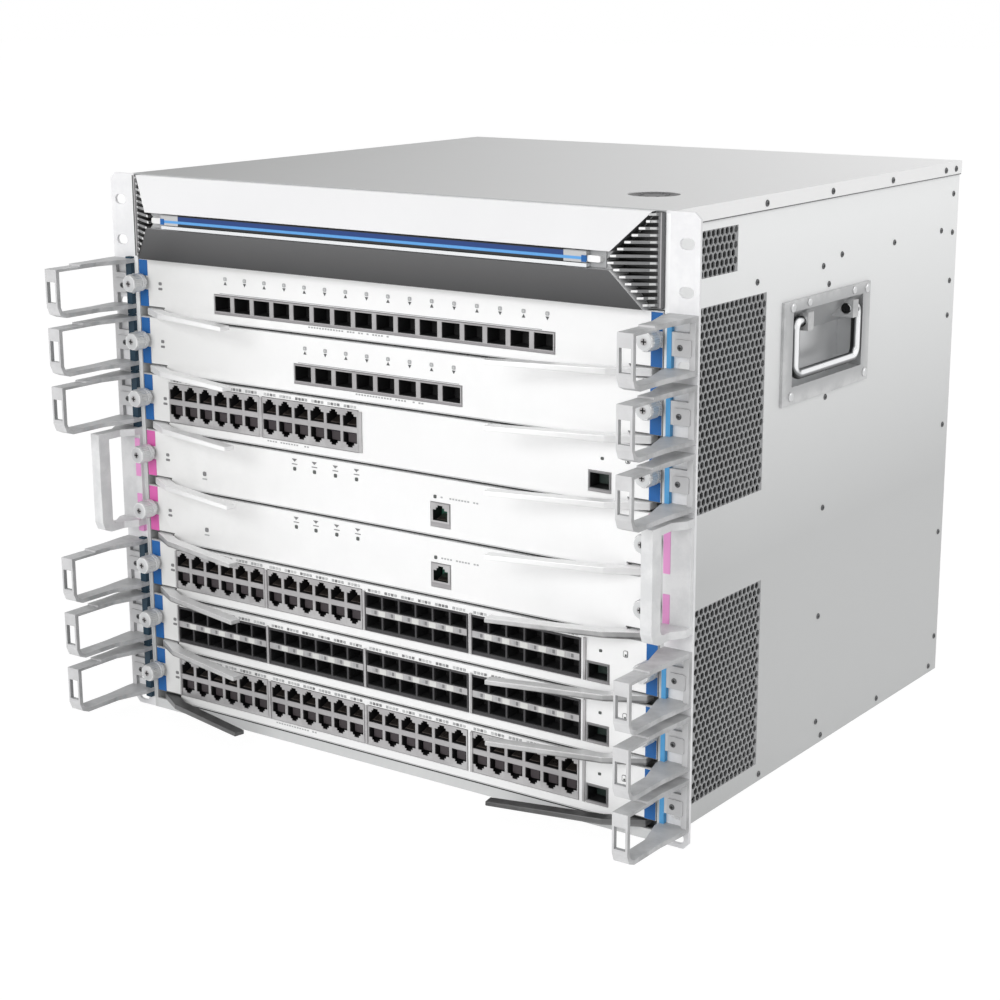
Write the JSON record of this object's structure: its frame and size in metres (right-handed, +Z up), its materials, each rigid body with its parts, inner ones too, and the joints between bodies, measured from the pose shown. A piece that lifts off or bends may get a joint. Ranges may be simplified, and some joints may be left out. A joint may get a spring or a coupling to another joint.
{
  "type": "modular chassis switch",
  "caption": "Rack-mount modular network switch chassis with a stack of slide-in port cards, side cable rings and a chevron-ended bezel.",
  "frame": {"origin": "middle of the chassis' bottom face, halfway between its front plane and its rear", "axes": "+X to the right seen from the front, +Y from front to rear, +Z up"},
  "size_m": [0.4826, 0.5092, 0.3964],
  "materials": {
    "body_paint": "satin powder coat",
    "lip_paint": "satin powder coat",
    "inner_steel": "plain zinc plated",
    "circuit_board": "solder mask",
    "bezel_plastic": "fine texture",
    "light_blue": "clear gloss",
    "bright_trim": "polished",
    "grille_metal": "satin",
    "ring_plastic": "fine texture",
    "guard_plastic": "fine texture",
    "dish_steel": "satin powder coat",
    "bail_chrome": "polished",
    "rotor_plastic": "moulded",
    "panel_steel": "satin",
    "port_housing": "moulded",
    "lever_steel": "bright"
  },
  "bodies": {
    "chassis": {"left_side_panel": "body_paint", "right_side_panel": "body_paint", "top_cover": "body_paint", "bottom_plate": "lip_paint", "front_header": "inner_steel", "rear_panel": "inner_steel", "midplane": "circuit_board", "left_slot_guides": "inner_steel", "right_slot_guides": "inner_steel", "front_bezel": "bezel_plastic", "light_bar": "light_blue", "light_bar_trim": "bright_trim", "left_end_grille": "grille_metal", "right_end_grille": "grille_metal", "left_cable_rings": "ring_plastic", "right_cable_rings": "ring_plastic", "left_guard_loop": "guard_plastic", "right_guard_loop": "guard_plastic", "left_handle_dish": "dish_steel", "right_handle_dish": "dish_steel"},
    "card_1": {"slot1_panel": "panel_steel", "slot1_board": "port_housing"},
    "lever_left_1": {"slot1_lever_left": "lever_steel"},
    "lever_right_1": {"slot1_lever_right": "lever_steel"},
    "card_2": {"slot2_panel": "panel_steel", "slot2_board": "port_housing"},
    "lever_left_2": {"slot2_lever_left": "lever_steel"},
    "lever_right_2": {"slot2_lever_right": "lever_steel"},
    "card_3": {"slot3_panel": "panel_steel", "slot3_board": "port_housing"},
    "lever_left_3": {"slot3_lever_left": "lever_steel"},
    "lever_right_3": {"slot3_lever_right": "lever_steel"},
    "card_4": {"slot4_panel": "panel_steel", "slot4_board": "port_housing"},
    "lever_left_4": {"slot4_lever_left": "lever_steel"},
    "lever_right_4": {"slot4_lever_right": "lever_steel"},
    "card_5": {"slot5_panel": "panel_steel", "slot5_board": "port_housing"},
    "lever_left_5": {"slot5_lever_left": "lever_steel"},
    "lever_right_5": {"slot5_lever_right": "lever_steel"},
    "card_6": {"slot6_panel": "panel_steel", "slot6_board": "port_housing"},
    "lever_left_6": {"slot6_lever_left": "lever_steel"},
    "lever_right_6": {"slot6_lever_right": "lever_steel"},
    "card_7": {"slot7_panel": "panel_steel", "slot7_board": "port_housing"},
    "lever_left_7": {"slot7_lever_left": "lever_steel"},
    "lever_right_7": {"slot7_lever_right": "lever_steel"},
    "card_8": {"slot8_panel": "panel_steel", "slot8_board": "port_housing"},
    "lever_left_8": {"slot8_lever_left": "lever_steel"},
    "lever_right_8": {"slot8_lever_right": "lever_steel"},
    "bail_left": {"left_handle_bail": "bail_chrome"},
    "bail_right": {"right_handle_bail": "bail_chrome"},
    "fan_tray": {"fan_tray": "inner_steel"},
    "fan_rotor_1": {"fan_rotor_1": "rotor_plastic"},
    "power_module_1": {"power_module_1": "inner_steel"},
    "fan_rotor_2": {"fan_rotor_2": "rotor_plastic"},
    "power_module_2": {"power_module_2": "inner_steel"}
  },
  "joints": [
    {"name": "card_1_slide", "type": "slide", "parent": "chassis", "child": "card_1", "axis": [0, -1, 0], "range_m": [0, 0.24]},
    {"name": "lever_left_1_swing", "type": "hinge", "parent": "card_1", "child": "lever_left_1", "pos_m": [-0.203, -0.2038, 0.2996], "axis": [0, 0, -1], "range_deg": [0, 70]},
    {"name": "lever_right_1_swing", "type": "hinge", "parent": "card_1", "child": "lever_right_1", "pos_m": [0.203, -0.2038, 0.2996], "axis": [0, 0, 1], "range_deg": [0, 70]},
    {"name": "card_2_slide", "type": "slide", "parent": "chassis", "child": "card_2", "axis": [0, -1, 0], "range_m": [0, 0.24]},
    {"name": "lever_left_2_swing", "type": "hinge", "parent": "card_2", "child": "lever_left_2", "pos_m": [-0.203, -0.2038, 0.2583], "axis": [0, 0, -1], "range_deg": [0, 70]},
    {"name": "lever_right_2_swing", "type": "hinge", "parent": "card_2", "child": "lever_right_2", "pos_m": [0.203, -0.2038, 0.2583], "axis": [0, 0, 1], "range_deg": [0, 70]},
    {"name": "card_3_slide", "type": "slide", "parent": "chassis", "child": "card_3", "axis": [0, -1, 0], "range_m": [0, 0.24]},
    {"name": "lever_left_3_swing", "type": "hinge", "parent": "card_3", "child": "lever_left_3", "pos_m": [-0.203, -0.2038, 0.217], "axis": [0, 0, -1], "range_deg": [0, 70]},
    {"name": "lever_right_3_swing", "type": "hinge", "parent": "card_3", "child": "lever_right_3", "pos_m": [0.203, -0.2038, 0.217], "axis": [0, 0, 1], "range_deg": [0, 70]},
    {"name": "card_4_slide", "type": "slide", "parent": "chassis", "child": "card_4", "axis": [0, -1, 0], "range_m": [0, 0.24]},
    {"name": "lever_left_4_swing", "type": "hinge", "parent": "card_4", "child": "lever_left_4", "pos_m": [-0.203, -0.2038, 0.1757], "axis": [0, 0, -1], "range_deg": [0, 70]},
    {"name": "lever_right_4_swing", "type": "hinge", "parent": "card_4", "child": "lever_right_4", "pos_m": [0.203, -0.2038, 0.1757], "axis": [0, 0, 1], "range_deg": [0, 70]},
    {"name": "card_5_slide", "type": "slide", "parent": "chassis", "child": "card_5", "axis": [0, -1, 0], "range_m": [0, 0.24]},
    {"name": "lever_left_5_swing", "type": "hinge", "parent": "card_5", "child": "lever_left_5", "pos_m": [-0.203, -0.2038, 0.1344], "axis": [0, 0, -1], "range_deg": [0, 70]},
    {"name": "lever_right_5_swing", "type": "hinge", "parent": "card_5", "child": "lever_right_5", "pos_m": [0.203, -0.2038, 0.1344], "axis": [0, 0, 1], "range_deg": [0, 70]},
    {"name": "card_6_slide", "type": "slide", "parent": "chassis", "child": "card_6", "axis": [0, -1, 0], "range_m": [0, 0.24]},
    {"name": "lever_left_6_swing", "type": "hinge", "parent": "card_6", "child": "lever_left_6", "pos_m": [-0.203, -0.2038, 0.0931], "axis": [0, 0, -1], "range_deg": [0, 70]},
    {"name": "lever_right_6_swing", "type": "hinge", "parent": "card_6", "child": "lever_right_6", "pos_m": [0.203, -0.2038, 0.0931], "axis": [0, 0, 1], "range_deg": [0, 70]},
    {"name": "card_7_slide", "type": "slide", "parent": "chassis", "child": "card_7", "axis": [0, -1, 0], "range_m": [0, 0.24]},
    {"name": "lever_left_7_swing", "type": "hinge", "parent": "card_7", "child": "lever_left_7", "pos_m": [-0.203, -0.2038, 0.0518], "axis": [0, 0, -1], "range_deg": [0, 70]},
    {"name": "lever_right_7_swing", "type": "hinge", "parent": "card_7", "child": "lever_right_7", "pos_m": [0.203, -0.2038, 0.0518], "axis": [0, 0, 1], "range_deg": [0, 70]},
    {"name": "card_8_slide", "type": "slide", "parent": "chassis", "child": "card_8", "axis": [0, -1, 0], "range_m": [0, 0.24]},
    {"name": "lever_left_8_swing", "type": "hinge", "parent": "card_8", "child": "lever_left_8", "pos_m": [-0.203, -0.2038, 0.0105], "axis": [0, 0, -1], "range_deg": [0, 70]},
    {"name": "lever_right_8_swing", "type": "hinge", "parent": "card_8", "child": "lever_right_8", "pos_m": [0.203, -0.2038, 0.0105], "axis": [0, 0, 1], "range_deg": [0, 70]},
    {"name": "bail_left_swing", "type": "hinge", "parent": "chassis", "child": "bail_left", "pos_m": [-0.221, -0.0028, 0.309], "axis": [0, 1, 0], "range_deg": [0, 90]},
    {"name": "bail_right_swing", "type": "hinge", "parent": "chassis", "child": "bail_right", "pos_m": [0.221, -0.0028, 0.309], "axis": [0, -1, 0], "range_deg": [0, 90]},
    {"name": "fan_tray_slide", "type": "slide", "parent": "chassis", "child": "fan_tray", "axis": [0, 1, 0], "range_m": [0, 0.1]},
    {"name": "fan_rotor_1_spin", "type": "hinge", "parent": "fan_tray", "child": "fan_rotor_1", "pos_m": [-0.1, 0.1678, 0.22], "axis": [0, 1, 0], "continuous": true},
    {"name": "power_module_1_slide", "type": "slide", "parent": "chassis", "child": "power_module_1", "axis": [0, 1, 0], "range_m": [0, 0.17]},
    {"name": "fan_rotor_2_spin", "type": "hinge", "parent": "fan_tray", "child": "fan_rotor_2", "pos_m": [0.1, 0.1678, 0.22], "axis": [0, 1, 0], "continuous": true},
    {"name": "power_module_2_slide", "type": "slide", "parent": "chassis", "child": "power_module_2", "axis": [0, 1, 0], "range_m": [0, 0.17]}
  ]
}
